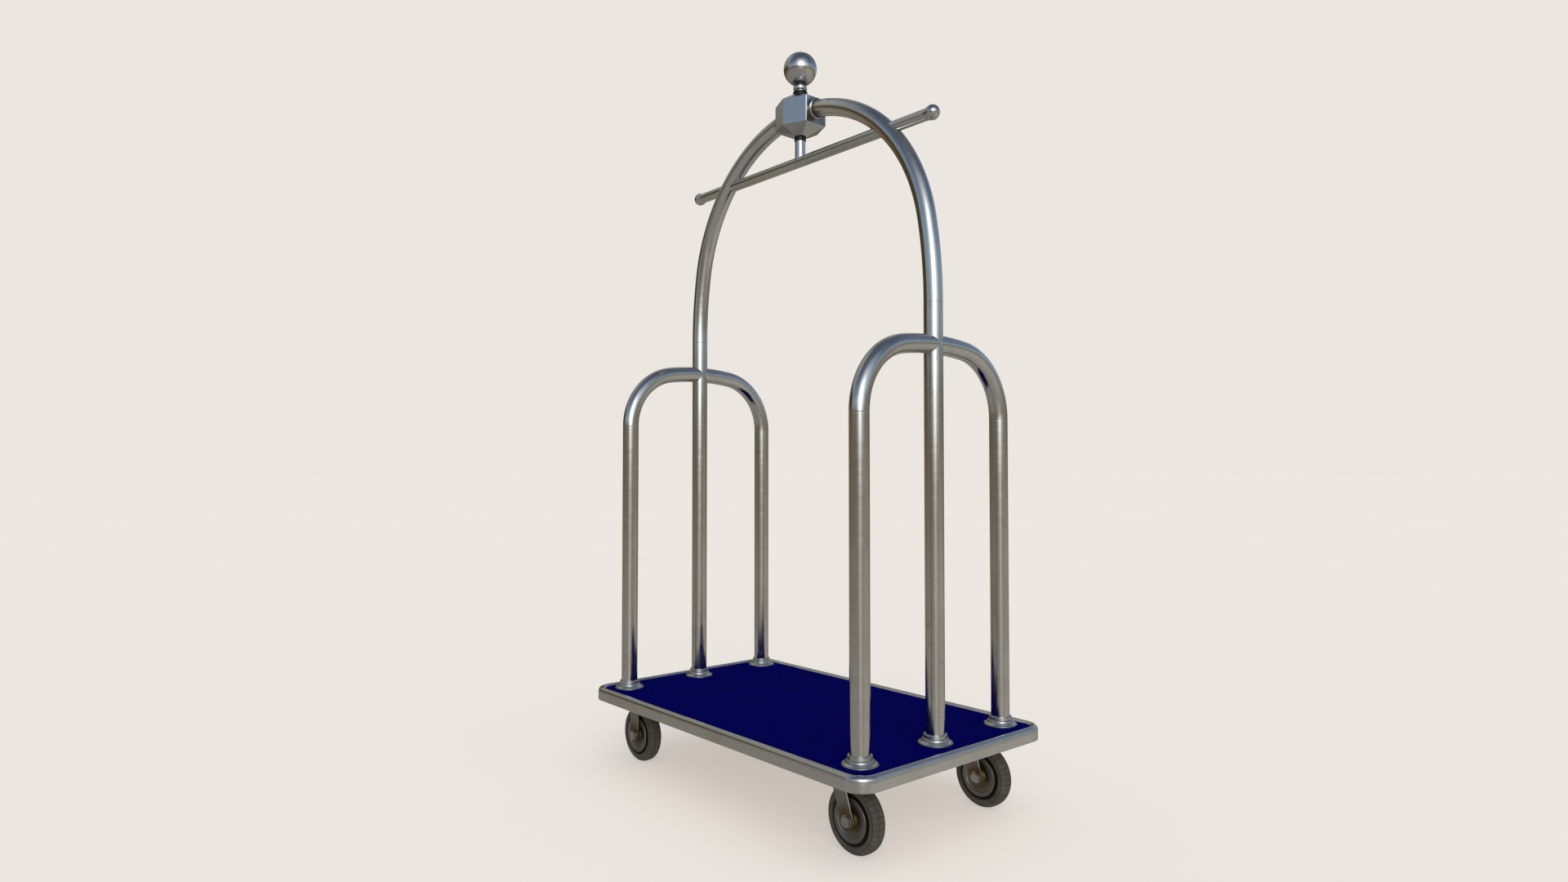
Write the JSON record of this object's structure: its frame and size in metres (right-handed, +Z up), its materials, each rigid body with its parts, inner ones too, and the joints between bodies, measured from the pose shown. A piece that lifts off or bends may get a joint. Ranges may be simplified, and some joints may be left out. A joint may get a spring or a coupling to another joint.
{
  "type": "hotel luggage cart",
  "caption": "Birdcage luggage cart: carpeted deck on casters, tall tube arch with hanging rail, end hoops, crown block and ball finial.",
  "frame": {"origin": "on the floor below the middle of the deck", "axes": "+Z up; +X along the deck towards the end with the swivel casters; +Y across the deck"},
  "size_m": [1.024, 0.604, 1.8461],
  "materials": {
    "frame_steel": "brushed and lightly scratched, satin gloss",
    "rail_metal": "polished, slightly dulled",
    "block_metal": "brushed flats",
    "rim_metal": "satin, worn along the bead",
    "caster_steel": "dull zinc plate, slightly dirty",
    "hub_metal": "cast and turned, dull",
    "carpet": "short cut pile, matt",
    "board_wood": "sealed plywood",
    "tyre_rubber": "matt, fine tread"
  },
  "bodies": {
    "root": {"deck_board": "board_wood", "carpet_inlay": "carpet", "edge_rim": "rim_metal", "flange_right_front": "frame_steel", "flange_right_mid": "frame_steel", "flange_right_back": "frame_steel", "flange_left_front": "frame_steel", "flange_left_mid": "frame_steel", "flange_left_back": "frame_steel", "leg_bolt_right_front": "caster_steel", "leg_bolt_right_mid": "caster_steel", "leg_bolt_right_back": "caster_steel", "leg_bolt_left_front": "caster_steel", "leg_bolt_left_mid": "caster_steel", "leg_bolt_left_back": "caster_steel", "arch_tube_right": "frame_steel", "arch_tube_left": "frame_steel", "arch_collar_right": "frame_steel", "arch_collar_left": "frame_steel", "rail_knob_right": "rail_metal", "rail_knob_left": "rail_metal", "hoop_tube_right_front": "frame_steel", "hoop_tube_right_back": "frame_steel", "hoop_tube_left_front": "frame_steel", "hoop_tube_left_back": "frame_steel", "crown_block": "block_metal", "finial_neck": "frame_steel", "drop_rod": "frame_steel", "hanging_rail": "frame_steel", "finial_ball": "rail_metal", "caster_plate_right_front": "caster_steel", "ball_race_right_front": "caster_steel", "king_pin_right_front": "caster_steel", "caster_plate_right_back": "caster_steel", "ball_race_right_back": "caster_steel", "king_pin_right_back": "caster_steel", "fork_left_front": "caster_steel", "axle_bolt_left_front": "caster_steel", "axle_nut_left_front": "caster_steel", "axle_sleeve_left_front": "caster_steel", "fork_left_back": "caster_steel", "axle_bolt_left_back": "caster_steel", "axle_nut_left_back": "caster_steel", "axle_sleeve_left_back": "caster_steel"},
    "swivel_right_front": {"fork_right_front": "caster_steel", "axle_bolt_right_front": "caster_steel", "axle_nut_right_front": "caster_steel", "axle_sleeve_right_front": "caster_steel"},
    "swivel_right_back": {"fork_right_back": "caster_steel", "axle_bolt_right_back": "caster_steel", "axle_nut_right_back": "caster_steel", "axle_sleeve_right_back": "caster_steel"},
    "wheel_right_front": {"hub_right_front": "hub_metal", "tyre_right_front": "tyre_rubber"},
    "wheel_right_back": {"hub_right_back": "hub_metal", "tyre_right_back": "tyre_rubber"},
    "wheel_left_front": {"hub_left_front": "hub_metal", "tyre_left_front": "tyre_rubber"},
    "wheel_left_back": {"hub_left_back": "hub_metal", "tyre_left_back": "tyre_rubber"}
  },
  "joints": [
    {"name": "swivel_right_front", "type": "hinge", "parent": "root", "child": "swivel_right_front", "pos_m": [0.3685, -0.208, 0.15], "axis": [0, 0, 1], "continuous": true},
    {"name": "roll_right_front", "type": "hinge", "parent": "swivel_right_front", "child": "wheel_right_front", "pos_m": [0.4045, -0.208, 0.0715], "axis": [0, 1, 0], "continuous": true},
    {"name": "roll_left_front", "type": "hinge", "parent": "root", "child": "wheel_left_front", "pos_m": [-0.4045, -0.208, 0.0715], "axis": [0, 1, 0], "continuous": true},
    {"name": "swivel_right_back", "type": "hinge", "parent": "root", "child": "swivel_right_back", "pos_m": [0.3685, 0.208, 0.15], "axis": [0, 0, 1], "continuous": true},
    {"name": "roll_right_back", "type": "hinge", "parent": "swivel_right_back", "child": "wheel_right_back", "pos_m": [0.4045, 0.208, 0.0715], "axis": [0, 1, 0], "continuous": true},
    {"name": "roll_left_back", "type": "hinge", "parent": "root", "child": "wheel_left_back", "pos_m": [-0.4045, 0.208, 0.0715], "axis": [0, 1, 0], "continuous": true}
  ]
}
